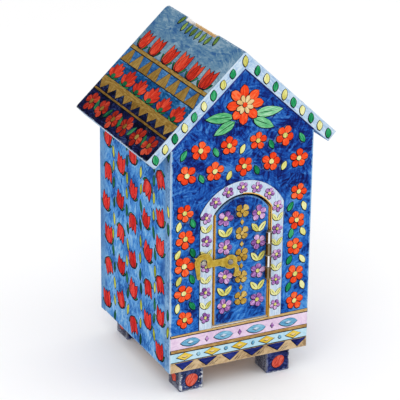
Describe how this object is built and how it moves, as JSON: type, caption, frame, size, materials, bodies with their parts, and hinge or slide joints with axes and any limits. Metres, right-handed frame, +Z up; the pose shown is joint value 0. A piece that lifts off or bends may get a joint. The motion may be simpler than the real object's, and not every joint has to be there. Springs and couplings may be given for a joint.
{
  "type": "tzedakah box",
  "caption": "House-shaped charity box of painted wood with a coin slot in its ridge, an arched front door on a brass hinge, a swinging hook latch, and block feet.",
  "frame": {"origin": "on the surface that the feet stand on, under the middle of the whole box", "axes": "+Z up, +X to the right seen from the front, +Y from the front to the back"},
  "size_m": [0.1012, 0.0891, 0.1735],
  "materials": {
    "front_paint": "deep blue hand-brushed paint under satin varnish",
    "side_paint": "light blue hand-brushed paint under satin varnish",
    "roof_paint": "navy to grey-blue hand-brushed paint under satin varnish",
    "foot_paint": "navy hand-brushed paint with worn edges",
    "bare_wood": "bare sanded board",
    "brass": "stamped sheet brass, lightly dulled",
    "steel": "plain steel"
  },
  "bodies": {
    "case": {"front_board": "front_paint", "back_board": "side_paint", "left_wall": "side_paint", "right_wall": "side_paint", "floor_board": "bare_wood", "roof_left": "roof_paint", "roof_right": "roof_paint", "foot_front_left": "foot_paint", "foot_front_right": "foot_paint", "foot_back_left": "foot_paint", "foot_back_right": "foot_paint", "hinge_frame_leaf": "brass", "hinge_pin": "brass", "hinge_frame_nails": "brass", "latch_keeper_pin": "steel"},
    "door": {"door": "front_paint", "hinge_door_leaf": "brass", "hinge_door_nails": "brass", "latch_washer": "brass", "latch_pivot_screw": "steel"},
    "latch_hook": {"latch_hook": "brass"}
  },
  "joints": [
    {"name": "door_hinge", "type": "hinge", "parent": "case", "child": "door", "pos_m": [0.0139, -0.04305, 0.0687], "axis": [0, 0, 1], "range_deg": [0, 165]},
    {"name": "hook_swing", "type": "hinge", "parent": "door", "child": "latch_hook", "pos_m": [-0.0067, -0.0426, 0.0686], "axis": [0, 1, 0], "range_deg": [0, 110]}
  ]
}
